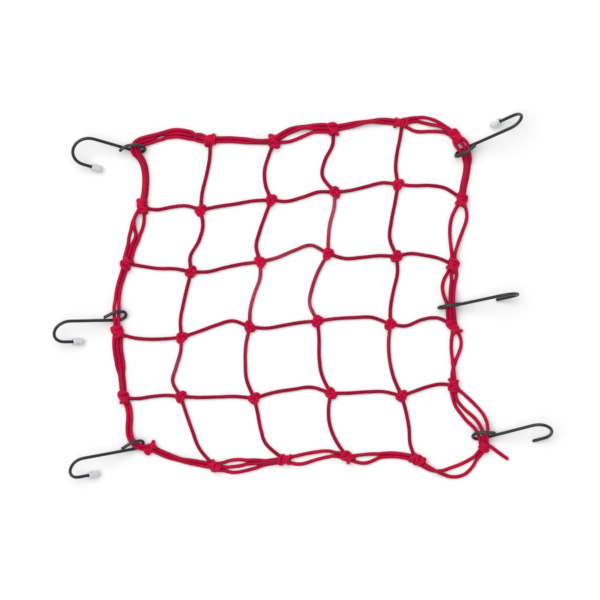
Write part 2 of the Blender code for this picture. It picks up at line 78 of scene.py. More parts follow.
# %% The knots
Knot = namedtuple("Knot", "name x y along across turn_deg")
KNOTS = [Knot(*row) for row in (
    ("top_1", -101.5, 171, 7.0, 5.5, 20),
    ("top_2", -31, 170, 7.5, 6.0, 90),
    ("top_3", 33.5, 183.5, 7.5, 5.5, 100),
    ("top_4", 108.5, 190.5, 8.0, 5.0, 0),
    ("top_right", 168.5, 175.5, 9.0, 5.5, 130),
    ("left_1", -176, 98.5, 8.5, 5.5, 95),
    ("left_2", -193.5, 36, 7.5, 6.0, 60),
    ("left_3", -203, -39.5, 7.5, 6.0, 110),
    ("left_4", -196.5, -111.5, 7.5, 5.5, 100),
    ("low_left", -167.5, -167, 8.0, 5.0, 35),
    ("right_1", 175, 105.5, 7.5, 6.0, 80),
    ("right_2", 165.5, 34, 7.5, 6.0, 70),
    ("right_3", 166, -34, 9.0, 5.5, 125),
    ("right_4", 166, -98.5, 7.5, 5.5, 90),
    ("low_right", 199.5, -165.8, 6.0, 5.5, 80),
    ("low_1", -97, -187, 7.0, 5.5, 150),
    ("low_2", -20, -180, 7.5, 5.5, 0),
    ("low_3", 49, -177, 7.5, 5.5, 140),
    ("low_4", 126, -180, 8.5, 5.5, 155),
    ("in_11", -112, 94, 6.5, 5.5, 45),
    ("in_12", -34.5, 105.5, 6.5, 5.5, 60),
    ("in_13", 35.5, 114, 6.5, 5.5, 120),
    ("in_14", 105, 122.5, 6.5, 5.5, 45),
    ("in_21", -122.5, 26.5, 6.5, 5.5, 50),
    ("in_22", -46.5, 37.5, 6.5, 5.5, 130),
    ("in_23", 28, 46.5, 6.5, 5.5, 60),
    ("in_24", 103.5, 43.5, 6.5, 5.5, 45),
    ("in_31", -133, -45.5, 6.5, 5.5, 45),
    ("in_32", -58, -34, 6.5, 5.5, 120),
    ("in_33", 16.5, -27.5, 6.5, 5.5, 50),
    ("in_34", 96.5, -31, 6.5, 5.5, 45),
    ("in_41", -134, -110.5, 6.5, 5.5, 60),
    ("in_42", -53, -112.5, 6.5, 5.5, 45),
    ("in_43", 31, -107, 6.5, 5.5, 130),
    ("in_44", 109, -110, 6.5, 5.5, 45),
)]


def inside(name):
    """Whether a knot is inside the net, from the start of its name."""
    return name.startswith("in_")


print(len(KNOTS), "knots,", sum(inside(knot.name) for knot in KNOTS), "of them inside the net")

# %% [markdown]
# ## How the strands bow
#
# A strand runs from knot to knot. Five numbers say how far it bows off the straight line, at
# its start, its three quarters and its end. A strand that runs down bows along X, and one
# that runs across bows along Y. Some have a sixth number, the quarter where they ride over
# their neighbour.

# %% The strands
fields = "start end side_0 side_1 side_2 side_3 side_4 over"
Strand = namedtuple("Strand", fields, defaults=(None,))
STRANDS = [Strand(*row) for row in (
    # the four lines of the grid that run down
    ("top_1", "in_11", 0, 2, 1, -1, 0),
    ("in_11", "in_21", 0, 5, 3, -3.5, 0),
    ("in_21", "in_31", 0, -2, -3.5, -4, 0),
    ("in_31", "in_41", 0, -1, -5.5, -9, 0),
    ("in_41", "low_1", 0, -3, -5.5, -7, 0),
    ("top_2", "in_12", 0, -5.5, -9, -7, 0),
    ("in_12", "in_22", 0, -3.5, -6.5, -7.5, 0),
    ("in_22", "in_32", 0, 2.5, -1, -2.5, 0),
    ("in_32", "in_42", 0, -5.5, -7.5, -7, 0),
    ("in_42", "low_2", 0, -4.5, -9.5, -11.5, 0),
    ("top_3", "in_13", 0, -1, -10, -13, 0),
    ("in_13", "in_23", 0, 1, -1.5, -1.5, 0),
    ("in_23", "in_33", 0, -7.5, -11.5, -11.5, 0),
    ("in_33", "in_43", 0, -2, -5.5, -6, 0),
    ("in_43", "low_3", 0, -7, -10, -7.5, 0),
    ("top_4", "in_14", 3, -0.5, -3, -3.5, 0),
    ("in_14", "in_24", 0, -3, -6.5, -8, 0),
    ("in_24", "in_34", 0, 2.5, 0, -1.5, 0),
    ("in_34", "in_44", 0, -5, -7, -5.5, 0),
    ("in_44", "low_4", 0, 0.5, -0.5, -3.5, -4),
    # the four lines of the grid that run across
    ("left_1", "in_11", -3, -2.5, 1.5, 4, 2),
    ("in_11", "in_12", 1, 1.5, 1.5, 2, 0),
    ("in_12", "in_13", 0, -3.5, -1, 2.5, 0),
    ("in_13", "in_14", 0, 0, 2, 4, 1),
    ("in_14", "right_1", 0, 3, 7.5, 8.5, 3),
    ("left_2", "in_21", 0, -1, -1, 1, 0),
    ("in_21", "in_22", 0, -2.5, -0.5, 0.5, 0),
    ("in_22", "in_23", 0, 2.5, 8, 11.5, 0),
    ("in_23", "in_24", 0, -4.5, -2.5, 0, 0),
    ("in_24", "right_2", 1, 5.5, 6, 5, 1),
    ("left_3", "in_31", -4, -5, -5, -3, 0),
    ("in_31", "in_32", 0, 3.5, 7.5, 9.5, 0),
    ("in_32", "in_33", 0, -3, -1.5, 0, 0),
    ("in_33", "in_34", 0, 3.5, 5.5, 6.5, 0),
    ("in_34", "right_3", 0, -1, 6.5, 9, 4),
    ("left_4", "in_41", -2, -1.5, 0.5, 1.5, 0),
    ("in_41", "in_42", 0, -0.5, 0.5, 1.5, 0),
    ("in_42", "in_43", 0, 5, 7, 8, 0),
    ("in_43", "in_44", 0, 1, 3, 4, 0),
    ("in_44", "right_4", 0, 2.5, 4.5, 4.5, 1),
    # the border along the top
    ("top_1", "top_2", 4, 4, 2.5, 0.5, 1.5, 3),
    ("top_1", "top_2", -3, -1.5, -1.5, -2, -2),
    ("top_2", "top_3", 5, 10, 9.5, 6.5, 3),
    ("top_2", "top_3", 2, 6, 8, 4.5, 2, 2),
    ("top_2", "top_3", -3, -4, -1, 2, 0),
    ("top_3", "top_4", 3, 3.5, 5, 4, 0),
    ("top_3", "top_4", 0, 1, 4, 3, -1, 2),
    ("top_4", "top_right", 3, 10, 12.5, 10, 3),
    ("top_4", "top_right", 1, 5, 6, 6, 2, 3),
    ("top_4", "top_right", -3, -6, -2, 1, -1),
    # the border down the left side
    ("left_2", "left_1", -1, -4, -5.5, -6, -4.5),
    ("left_2", "left_1", 1, 0.5, 2, -5.5, -4.5, 3),
    ("left_2", "left_1", 2, 4, 6.5, 6.5, 2),
    ("left_4", "left_3", -1.5, -2, -3, -5.5, -3),
    ("left_4", "left_3", 1.5, 2, 1.5, 1.5, 2),
    ("left_4", "left_3", 0, 0, -0.5, -2, -1, 1),
    # the border down the right side
    ("right_1", "right_2", -2, -8.5, -8.5, -4.5, -1),
    ("right_1", "right_2", 4, 8.5, 5, 1, 1, 3),
    ("right_3", "right_4", -1, -2.5, -2, 0.5, 1.5, 3),
    ("right_3", "right_4", 5, 9, 4.5, -1.5, -1.5),
    # the border along the bottom
    ("low_right", "low_4", -4, -12, -16, -16.5, -8),
    ("low_right", "low_4", -6, -25, -26, -14.5, 0, 3),
    ("low_4", "low_3", 4, 6, 5.5, 3.5, 1.5),
    ("low_4", "low_3", 0, 2.5, 1.5, -6.5, -6),
    ("low_3", "low_2", 2, 7.5, 7, 4.5, 2.5),
    ("low_3", "low_2", 0, 1.5, -1.5, -6, -4),
    ("low_2", "low_1", 1, 1, 3.5, 5, 1),
    ("low_2", "low_1", -1, -0.5, -1.5, -2.5, -1, 1),
    ("low_2", "low_1", -3, -4, -7.5, -9, -4),
    ("low_1", "low_left", 1, 1, -2, -1.5, 1, 2),
    ("low_1", "low_left", -1, -4.5, -5, -4, -1),
)]
print(len(STRANDS), "strands from knot to knot")

# %% [markdown]
# ## How the hooks lie
#
# A hook's row starts with the place of its eye's far end, on the line of the shank, the way
# that it heads and its length from there to the crown of the bend. Then come its roll, the
# turn of the eye against the bend, the bend's width and depth, and how far back from the
# crown the wire ends. The last three say which side it opens to, whether the tail lies beside
# the shank or across it, and whether the cap is on.

# %% The hooks
LEFT, RIGHT = 1, -1
BESIDE, ACROSS = "beside", "across"
Hook = namedtuple(
    "Hook",
    "name x y heading_deg length roll_deg eye_turn_deg throat depth back opens tail capped",
)
HOOKS = [Hook(*row) for row in (
    ("top_left", -176.3, 157.3, 164.6, 76.6, 20.9, 39.1, 31.7, 17.5, 33.2, LEFT, ACROSS, True),
    ("mid_left", -195.8, -26.4, 181.0, 80.1, 36.0, 8.0, 28.2, 15.0, 30.4, LEFT, BESIDE, True),
    ("low_left", -176.3, -166.5, 189.5, 84.6, 43.4, 8.1, 27.8, 12.0, 29.7, LEFT, BESIDE, True),
    ("top_right", 170.0, 158.6, 23.2, 84.1, 58.4, 7.6, 22.7, 12.2, 35.8, LEFT, BESIDE, True),
    ("mid_right", 153.0, -13.5, 12.4, 86.0, 81.5, 0.5, 25.9, 10.5, 30.9, RIGHT, BESIDE, False),
    ("low_right", 190.5, -158.5, 15.7, 84.1, 51.5, 3.5, 28.7, 14.2, 28.4, RIGHT, BESIDE, False),
)]
print(len(HOOKS), "hooks,", sum(hook.capped for hook in HOOKS), "of them capped")

# %% [markdown]
# These strands pass through an eye. Each climbs over the shank and under the eye's free wire,
# so its stations are given one by one, as x, y and height. The net also has one free tail,
# where the cord was cut after its last knot.

# %% Strands through the eyes
THREADED = (
    ("top_1", "left_1", (
        (-123, 177.5, 2), (-137, 184, 2), (-153, 179.5, 5.8), (-167, 175, 3), (-178, 172, 3.2),
        (-186, 168, 7.5), (-188.6, 161.6, 10.2), (-183.5, 155, 8), (-178, 148, 3.5), (-174.3, 134.6, 2),
        (-174.5, 117, 2),
    )),
    ("top_1", "left_1", (
        (-121, 176.5, 2), (-142, 178.5, 2), (-158, 177.5, 2), (-168, 172.5, 2), (-177, 170, 3),
        (-182.5, 165.5, 6), (-184.4, 160.2, 8.6), (-179.5, 153.5, 8), (-174.5, 146, 6.2),
        (-172.5, 134, 5.5), (-172.5, 120, 5.4),
    )),
    ("top_1", "left_1", (
        (-131, 176, 2), (-152.5, 172.5, 2), (-164, 168.5, 2), (-172.5, 168, 2), (-179.5, 165, 5),
        (-181.4, 159.6, 7.7), (-178.8, 155, 7), (-173.5, 149, 3.2), (-170.8, 134, 2), (-171, 117, 2),
    )),
    ("left_3", "left_2", (
        (-206, -33, 6.5), (-206.8, -27, 10.5), (-206.7, -18, 9.3), (-206.8, -8, 5), (-204.4, 8.5, 2),
        (-199, 23, 2),
    )),
    ("left_3", "left_2", (
        (-201.8, -33, 5.5), (-202, -27, 7.4), (-201.6, -17, 7.2), (-201.5, -8, 4), (-199.8, 8.5, 2),
        (-196, 25, 2),
    )),
    ("left_4", "low_left", (
        (-194, -122, 2), (-192, -134.5, 2), (-192.8, -149, 3), (-190, -159, 6.5), (-185, -165, 8.5),
        (-178, -168, 7),
    )),
    ("left_4", "low_left", (
        (-189.5, -118, 2), (-187.5, -128, 2), (-188.5, -139, 2), (-189, -150, 3.5), (-186, -158.5, 7),
        (-180, -163.2, 8.4), (-175, -165, 7.6),
    )),
    ("top_right", "right_1", (
        (165, 169, 4), (169, 164, 5.8), (172.5, 160, 6.7), (175.5, 155.5, 5.8), (178, 149, 3),
        (178.3, 136.5, 2), (175, 122.5, 2),
    )),
    ("top_right", "right_1", (
        (173.5, 169, 6.3), (176.8, 164, 9.9), (178.6, 160, 10.2), (180, 155.5, 8.6), (181.3, 148, 5.8),
        (180.3, 136.5, 5.4), (177.3, 122.5, 5.4),
    )),
    ("top_right", "right_1", (
        (177, 173, 6.5), (180.7, 168.8, 11.1), (182.3, 163.5, 12.8), (183.6, 157.5, 11.5),
        (184, 149, 4.5), (182.6, 136.5, 2), (179.5, 122.5, 2),
    )),
    ("right_2", "right_3", (
        (160.3, 28, 2), (155.7, 19, 2), (153.2, 10.7, 2.3), (155, 0.8, 4.5), (157.8, -8, 7.6),
        (159, -17, 6.2), (159.6, -27, 3),
    )),
    ("right_2", "right_3", (
        (164, 24, 2), (162.7, 13.4, 3), (162, 0, 6.5), (162.4, -8, 9.3), (162.6, -15, 9),
        (164, -26, 5.2),
    )),
    ("right_2", "right_3", (
        (170.4, 25.4, 2), (168.3, 16.3, 2.5), (166.5, 6, 5), (166.2, -4, 10.7), (166.6, -12, 12.3),
        (166.8, -19, 8.5), (166.5, -28, 4),
    )),
    ("right_4", "low_right", (
        (164.6, -107, 2), (165.7, -118, 2), (173.8, -128.7, 2), (180.3, -137.5, 2.5),
        (187.3, -143, 4.5), (192, -149, 6.3), (194.5, -157, 6.9),
    )),
    ("right_4", "low_right", (
        (168.7, -111.4, 2), (173.8, -119.9, 2), (179, -125.6, 2), (189.4, -134, 3), (195, -142, 5.5),
        (198, -149, 8.1), (198.8, -156.5, 8.6),
    )),
    ("right_4", "low_right", (
        (173, -104, 2), (184.5, -114.4, 2), (193, -123, 2), (199.2, -130.6, 3), (202.7, -139, 6.5),
        (203.7, -148.5, 10.3), (203.2, -155.5, 10.9),
    )),
)
TAIL_KNOT = "low_right"
TAIL_ROUTE = ((205.5, -165, 4.5), (214, -171, 2.5), (226, -179.5, 2))
print(len(THREADED), "strands go through a hook's eye")

# %% [markdown]
# ## Curves as whole arrays
#
# A cord is a circle carried along a line. Blender's own curves could carry it, but their
# handles would have to be set by hand for every station. Here the line runs smoothly through
# its stations by itself, as a Catmull-Rom curve, and is then cut into even steps, so that the
# rings of the tube and the braid on it stay even. Numpy works on a whole line at once.

# %% Lines
POINTS_A_SPAN = 16


def run_along(line):
    """How far along the line each of its points is: the sum of the steps that lead to it."""
    return np.concatenate([[0], np.cumsum(np.linalg.norm(np.diff(line, axis=0), axis=1))])


def run_of(line):
    """Length of a line: how far along its last point is."""
    return float(run_along(line)[-1])


def even_steps(line, step):
    """The same line with points about one step apart, by linear interpolation of its length."""
    run = run_along(line)
    goal = np.linspace(0, run[-1], max(int(round(run[-1] / step)) + 1, 3))
    return np.stack([np.interp(goal, run, line[:, i]) for i in range(3)], axis=1)


def curve_through(stations, step):
    """Even steps along a Catmull-Rom curve.

    With a before b and d after c, the point at share t from b to c is
    b + t (c - a) / 2 + t^2 (2a - 5b + 4c - d) / 2 + t^3 (3b - a - 3c + d) / 2.
    """
    p = np.asarray(stations, float)
    p = np.vstack([2 * p[0] - p[1], p, 2 * p[-1] - p[-2]])
    a, b, c, d = (p[i:len(p) - 3 + i, None] for i in range(4))
    t = np.linspace(0, 1, POINTS_A_SPAN, endpoint=False)[None, :, None]
    fine = b + t * (c - a) / 2 + t**2 * (2 * a - 5 * b + 4 * c - d) / 2
    fine = fine + t**3 * (3 * b - a - 3 * c + d) / 2
    return even_steps(np.vstack([fine.reshape(-1, 3), p[-2]]), step)


print(f"the free tail runs {run_of(curve_through(TAIL_ROUTE, 1)):.0f} mm beyond its knot")

# %% [markdown]
# ## Rings and their faces
#
# A tube is a row of rings that stand square to the line. Each ring needs a direction to start
# from. One that follows the bend of the line would flip over where the bend changes sides, so
# all rings of a line share the direction that the line follows least. Quads join each ring to
# the next, and a fan of triangles closes each end.

# %% Rings and faces
TINY = 1e-9


def rings_round(line, radii, sides):
    """Rings of points round a line: centre + radius (cos a * side + sin a * over).

    side is tangent x up and over is side x tangent. For up it takes the direction that the
    line follows least, the last singular vector of its tangents, so that no ring flips over.
    """
    tangent = np.gradient(line, axis=0)
    tangent /= np.linalg.norm(tangent, axis=1, keepdims=True)
    up = np.linalg.svd(tangent, full_matrices=False)[2][-1]
    side = np.cross(tangent, up)
    side /= np.maximum(np.linalg.norm(side, axis=1, keepdims=True), TINY)
    over = np.cross(side, tangent)
    angle = 2 * np.pi * np.arange(sides)[None, :, None] / sides
    around = np.cos(angle) * side[:, None] + np.sin(angle) * over[:, None]
    return line[:, None] + radii[:, None, None] * around


def tube_faces(count, sides, first=0):
    """Quads between rings and their next ones, then the two end fans round a centre point.

    Point k of ring n has the number n * sides + k. The two centre points come last.
    """
    ring = np.arange(count - 1)[:, None] * sides
    here = np.arange(sides)[None]
    after = (here + 1) % sides
    quads = np.stack([ring + here, ring + after, ring + sides + after, ring + sides + here], axis=2)
    ends = np.arange(sides)
    beside = np.roll(ends, -1)
    last = (count - 1) * sides
    start = np.stack([beside, ends, np.full(sides, count * sides)], axis=1)
    finish = np.stack([last + ends, last + beside, np.full(sides, count * sides + 1)], axis=1)
    return quads.reshape(-1, 4) + first, np.vstack([start, finish]) + first


print("quads and end triangles of two rings of six points:", *map(len, tube_faces(2, 6)))

# %% [markdown]
# ## The map on a tube
#
# The braid has to follow the cord round every bend. So a tube gets a UV map, with the turn
# round the cord as u and the run along it in millimetres as v.

# %% UV of a tube


def tube_uv(run, sides):
    """UV of each quad's corners: u is the turn, from 0 to 1, and v the run in millimetres."""
    turn = (np.arange(sides)[None] / sides).repeat(len(run) - 1, axis=0)
    after = turn + 1 / sides
    here = run[:-1, None].repeat(sides, axis=1)
    there = run[1:, None].repeat(sides, axis=1)
    u = np.stack([turn, after, after, turn], axis=2)
    v = np.stack([here, here, there, there], axis=2)
    return np.stack([u.ravel(), v.ravel()], axis=1)


print("a 10 mm tube of six sides has", len(tube_uv(np.array((0, 10)), 6)), "UV corners")

# %% [markdown]
# ## From tubes to a Blender object
#
# Many tubes go into one mesh, because a hundred small objects would be hard to handle. An
# attribute says how much painted sheen each ring gets. The object itself stays at the origin,
# and its place is in its mesh.

# %% Tubes into one object
Tube = namedtuple("Tube", "line radii sides shift mark")


def moved(points, matrix):
    """Points turned by the matrix and moved to its place: rotation times point plus place."""
    return points @ matrix[:3, :3].T + matrix[:3, 3]


def linked(name, data):
    """An object with this data, at the origin and linked to the scene."""
    thing = bpy.data.objects.new(name, data)
    bpy.context.scene.collection.objects.link(thing)
    return thing


def build(name, tubes, matrix=np.eye(4)):
    """One mesh object from a list of tubes, moved by the matrix.

    A tube's shift slides its pattern along it, and its mark is how much painted sheen it
    gets, as one number for the whole tube or one for each ring.
    """
    points, quads, fans, uvs, marks = [], [], [], [], []
    first = 0
    for line, radii, sides, shift, mark in tubes:
        rings = rings_round(line, radii, sides)
        quad, fan = tube_faces(len(line), sides, first)
        # how much painted sheen each ring gets
        painted_sheen = np.broadcast_to(np.asarray(mark, float), len(line))
        points.append(np.vstack([rings.reshape(-1, 3), line[0], line[-1]]))
        quads.append(quad)
        fans.append(fan)
        uvs.append(tube_uv(run_along(line) + shift, sides))
        marks.append(np.concatenate([painted_sheen.repeat(sides), painted_sheen[[0, -1]]]))
        first += len(points[-1])
    quads, fans = np.vstack(quads), np.vstack(fans)
    uvs.append(np.zeros((len(fans) * 3, 2)))
    mesh = bpy.data.meshes.new(name)
    places = (moved(np.vstack(points), matrix) - MIDDLE) * MM
    mesh.from_pydata(places, [], [*quads.tolist(), *fans.tolist()])
    mesh.uv_layers.new(name="braid").data.foreach_set("uv", np.vstack(uvs).ravel())
    mesh.attributes.new("mark", "FLOAT", "POINT").data.foreach_set("value", np.concatenate(marks))
    mesh.polygons.foreach_set("use_smooth", np.arange(len(mesh.polygons)) < len(quads))
    mesh.update()
    print(f"{name}: {len(quads) * 2 + len(fans)} triangles")
    return linked(name, mesh)


print("a tube has", ", ".join(Tube._fields))

# %% [markdown]
# ## Laying the strands
#
# A strand is straight from knot to knot, plus its bow. Both its ends run into the heart of a
# knot, which hides them. A braided cord swells and shrinks a little along its run, so a
# strand lies on the table at its largest radius. Strands that join the same two knots form a
# bundle.

# %% Stations of the strands
SWELL = 0.035
CORD_Z = CORD_RADIUS * (1 + SWELL)
STEP = 1.6
END_SHARE = 0.4
KNOT_HEART = 2.8
PLACES = {knot.name: np.array((knot.x, knot.y, KNOT_HEART)) for knot in KNOTS}


def laid(stations):
    """A smooth line through the stations that never sinks into the table."""
    line = curve_through(stations, STEP)
    line[:, 2] = np.maximum(line[:, 2], CORD_Z)
    return line


def strand_line(strand):
    """Straight line between two knots plus the bow at each quarter, as even steps.

    At the two ends only a share of the bow counts, because the knot draws the strands in.
    """
    line = PLACES[strand.end] - PLACES[strand.start]
    aside = np.array((0, 1, 0)) if abs(line[0]) > abs(line[1]) else np.array((1, 0, 0))
    bow = np.array(strand[2:7]) * (END_SHARE, 1, 1, 1, END_SHARE)
    stations = PLACES[strand.start] + line * (np.arange(5) / 4)[:, None] + aside * bow[:, None]
    stations[1:4, 2] = CORD_Z
    if strand.over is not None:
        stations[strand.over, 2] += CORD_DIAMETER
    return laid(stations)


bundles = {}
for strand in STRANDS:
    bundles.setdefault(tuple(sorted(strand[:2])), []).append(strand_line(strand))
for start, end, route in THREADED:
    line = laid([PLACES[start], *route, PLACES[end]])
    bundles.setdefault(tuple(sorted((start, end))), []).append(line)
print(len(bundles), "bundles, the largest of", max(map(len, bundles.values())), "strands")

# %% [markdown]
# ## The hooks' wire
#
# A hook is one wire bent in one plane: a tail, a round eye, a straight shank and a wide bend.
# A maker bends it round two pins, and half circles give the eye and the bend in the same way.
# The eye alone may be turned out of that plane, about the shank.

# %% Outline of a hook
EYE_WIDTH = 13.0
EYE_STRAIGHT = 14.0
# along the shank, aside and up: the lead into the eye, and the two kinds of tail
EYE_LEAD = ((2.0, 1.2), (-3.0, 0.0))
TAIL_BESIDE = (26.0, -4.0)
TAIL_ACROSS = ((27.0, 4.0, 3.8), (23.0, -4.0, 4.8))
SHANK_MARGIN = 8.0
EYE_PARTS, BEND_PARTS = 6, 9


def hook_outline(hook, finer=1):
    """Points (along the shank, towards the open side, up) of the wire, from tail to point.

    A half circle of radius r is (r cos a, r sin a) for even angles a; the bend is the same
    half circle stretched to its own depth.
    """
    eye = EYE_WIDTH / 2
    throat = hook.throat / 2
    loop = [(EYE_STRAIGHT + along, -EYE_WIDTH + aside) for along, aside in EYE_LEAD]
    if hook.tail == BESIDE:
        loop.insert(0, TAIL_BESIDE)
    angles = np.radians(-90 - np.linspace(0, 180, EYE_PARTS * finer + 1))
    loop += list(zip(eye + eye * np.cos(angles), -eye + eye * np.sin(angles)))
    turn = math.radians(hook.eye_turn_deg)
    line = [(u, v * math.cos(turn), -v * math.sin(turn)) for u, v in loop]
    if hook.tail == ACROSS:
        line = [*TAIL_ACROSS, *line]
    line.append((hook.length - hook.depth - SHANK_MARGIN, 0, 0))
    angles = np.radians(-90 + np.linspace(0, 180, BEND_PARTS * finer + 1))
    reach = hook.length - hook.depth + hook.depth * np.cos(angles)
    line += list(zip(reach, throat + throat * np.sin(angles), 0 * angles))
    line.append((hook.length - hook.back, hook.throat, 0))
    return np.array(line, float)


print("a hook's outline has", len(hook_outline(HOOKS[0])), "points")

# %% [markdown]
# The flat outline is turned to the way that the hook points, rolled on its shank and pitched
# until its eye and its point both touch the table. No short formula gives that pitch, because
# another point of the eye may be the lowest at another pitch. A bisection finds it: it halves
# the range of pitches again and again, and keeps the half that the answer is in.

# %% Place of a hook
EYE_LENGTH = 26.0
CAP_RADIUS = 3.85
CAP_LENGTH = 13.0
CAP_GRIP = 5.5
STEEPEST_DEG = 60
HALVINGS = 40


def hook_frame(hook):
    """A 4 by 4 matrix whose columns are the shank, the open side, their normal and the place.

    At pitch p and roll r the point (u, v, w) lies u sin p - v sin r cos p + w cos r cos p
    above the hook's place. Where a cap is on, its closed end is what touches the table.
    """
    heading, roll = math.radians(hook.heading_deg), math.radians(hook.roll_deg)
    outline = hook_outline(hook)
    u, v, w = outline[outline[:, 0] <= EYE_LENGTH].T
    tip = hook.length - hook.back - (CAP_LENGTH - CAP_GRIP if hook.capped else 0)
    spare = (CAP_RADIUS if hook.capped else WIRE_RADIUS) - WIRE_RADIUS
    low, high = 0.0, math.radians(STEEPEST_DEG)
    for _ in range(HALVINGS):
        pitch = (low + high) / 2
        fall, rise = math.sin(roll) * math.cos(pitch), math.cos(roll) * math.cos(pitch)
        lowest = (u * math.sin(pitch) - v * fall + w * rise).min()
        tip_low = tip * math.sin(pitch) - hook.throat * fall - spare * math.cos(pitch)
        low, high = (pitch, high) if tip_low < lowest else (low, pitch)
    level = math.cos(pitch)
    along = np.array((math.cos(heading) * level, math.sin(heading) * level, math.sin(pitch)))
    left = np.array((-math.sin(heading), math.cos(heading), 0))
    upward = np.cross(along, left)
    aside = left * hook.opens * math.cos(roll) - upward * math.sin(roll)
    matrix = np.eye(4)
    matrix[:3, :3] = np.stack([along, aside, np.cross(along, aside)], axis=1)
    matrix[:3, 3] = hook.x, hook.y, COATED_RADIUS - lowest
    return matrix


frames = [hook_frame(hook) for hook in HOOKS]
for hook, matrix in zip(HOOKS, frames):
    print(f"{hook.name} shank rises {math.degrees(math.asin(matrix[2, 0])):.0f} degrees")

# %% [markdown]
# Wire has no sharp corners where a straight run meets a bend. A smooth curve through points
# that are far apart in one place and close in another swings out there, so the outline is
# first cut into even steps. Its corners are then eased, and the curve runs through the rest.

# %% Centre lines of the wires
OUTLINE_STEP, WIRE_STEP = 2.0, 0.9
OUTLINE_FINER = 2
EASINGS = 2


def hook_line(hook):
    """The wire's centre line: even steps of the outline, with its corners eased as bent wire.

    One easing moves each point half of the way to the middle of the two beside it.
    """
    outline = hook_outline(hook, OUTLINE_FINER) * (1, 1, hook.opens)
    line = even_steps(outline, OUTLINE_STEP)
    for _ in range(EASINGS):
        line[1:-1] += (line[:-2] + line[2:] - 2 * line[1:-1]) / 4
    return curve_through(line, WIRE_STEP)


flat_wires = [hook_line(hook) for hook in HOOKS]
wires = [moved(line, matrix) for line, matrix in zip(flat_wires, frames)]
for hook, wire in zip(HOOKS, wires):
    print(f"{hook.name} wire {run_of(wire):.0f} mm long, {wire[:, 2].max():.1f} mm high")

# %% [markdown]
# ## Settling the bundles
#
# Where strands lie side by side or cross, real ones push each other aside and ride up. A
# cloth solver is too coarse for that, so a short loop does it. Its first part says how far a
# line is pushed: points that are closer than a cord's thickness go apart, and points that
# nearly touch are drawn together. Wires don't give way.

# %% Push of one line on another
CLING_REACH, CLING_PULL = 1.2, 0.1


def shove(line, other, rigid):
    """How a line's points move away from the nearest points of the other line.

    A wire pushes by all of the overlap and a cord by half of it, since the other cord moves
    too. Cords a little further apart than their thickness are pulled by a share of the gap.
    """
    reach = CORD_RADIUS + (COATED_RADIUS if rigid else CORD_RADIUS)
    gap = line[:, None] - other[None]
    far = np.linalg.norm(gap, axis=2)
    here, near = np.arange(len(line)), np.argmin(far, axis=1)
    far = far[here, near]
    way = gap[here, near] / np.maximum(far, TINY)[:, None]
    if rigid:
        return way * np.clip(reach - far, 0, None)[:, None]
    close = far - reach < reach * (CLING_REACH - 1)
    cling = np.where(close, np.clip(far - reach, 0, None), 0)
    return way * (np.clip(reach - far, 0, None) / 2 - cling * CLING_PULL)[:, None]


pushed = shove(np.zeros((1, 3)), np.array([(CORD_RADIUS, 0.0, 0.0)]), False)
print("a point that is half a cord inside another moves", abs(pushed[0, 0]), "mm away")

# %% [markdown]
# The loop pushes all lines of a bundle, smooths each of them a little and lifts what has sunk
# into the table. The last passes smooth more, so that no jolt from a push is left.

# %% Settle the strands
PASSES, LAST_PASSES = 80, 8
SMOOTHING, LAST_SMOOTHING = 0.06, 0.4
HOLD_STEPS = 4
# the first 80 points of a wire take in its eye; only one within 60 mm can touch a bundle
EYE_POINTS, EYE_NEAR, WIRE_STRIDE = 80, 60, 2


def settle(lines, wires):
    """Pushes lines apart, pass by pass, to about a cord's thickness from each other.

    After each push a point moves a share of the way to the mean of the points beside it, and
    a larger share in the last passes. A line moves less near its ends, and not at them.
    """
    for number in range(PASSES):
        share = SMOOTHING if number < PASSES - LAST_PASSES else LAST_SMOOTHING
        moves = []
        for line in lines:
            pushes = [shove(line, other, False) for other in lines if other is not line]
            pushes += [shove(line, wire, True) for wire in wires]
            moves.append(sum(pushes))
        for line, move in zip(lines, moves):
            steps = np.arange(len(line))
            hold = np.clip(np.minimum(steps, steps[::-1]) / HOLD_STEPS, 0, 1)
            line += move * hold[:, None]
            line[1:-1] += share * ((line[:-2] + line[2:]) / 2 - line[1:-1])
            line[:, 2] = np.maximum(line[:, 2], CORD_Z)


for lines in bundles.values():
    if len(lines) > 1:
        middle = np.vstack(lines).mean(axis=0)
        beside = [
            wire[::WIRE_STRIDE] for wire in wires
            if np.linalg.norm(wire[:EYE_POINTS] - middle, axis=1).min() < EYE_NEAR
        ]
        settle(lines, beside)
strands = [line for lines in bundles.values() for line in lines]
print(f"{len(strands)} strands, {sum(map(run_of, strands)) * MM:.2f} m of cord between the knots")

# %% [markdown]
# ## The strands
#
# Each strand becomes a round tube. A braided elastic cord isn't quite even, because its sheath
# bunches up where it was pulled, so two sine waves make its radius swell and shrink a little.
# A few stretches get a pale pink painted sheen, the highlight where their sheath shines, and
# a table says how much at five even places along each.

# %% Make the strands
SIDES = 14
SWELL_WAVES = ((9.0, 0.6, 1), (3.7, 0.4, 2))
BUNDLE_SHIFT, STRAND_SHIFT = 37.0, 11.0
TAIL_PHASE, TAIL_SHIFT = 1.0, 5.0
# painted sheen: how much pale pink highlight each of these stretches gets, at five places
SHEEN_STRANDS = {
    ("in_13", "in_23"): (0.3, 0.7, 0.5, 0.3, 0.0),
    ("in_22", "in_32"): (0.2, 0.4, 0.4, 0.35, 0.0),
    ("in_23", "in_33"): (0.2, 0.15, 0.1, 0.45, 0.0),
    ("in_22", "in_23"): (0.0, 0.3, 0.2, 0.2, 0.0),
    ("in_31", "in_41"): (0.0, 0.1, 0.35, 0.15, 0.0),
    ("in_34", "in_44"): (0.2, 0.2, 0.1, 0.0, 0.0),
    ("in_32", "in_42"): (0.2, 0.1, 0.1, 0.0, 0.0),
}


def swollen(line, phase):
    """Radius times 1 + SWELL * (share * sin(run / length + times * phase), for each wave)."""
    run = np.arange(len(line)) * STEP
    waves = (share * np.sin(run / length + times * phase) for length, share, times in SWELL_WAVES)
    return CORD_RADIUS * (1 + SWELL * sum(waves))


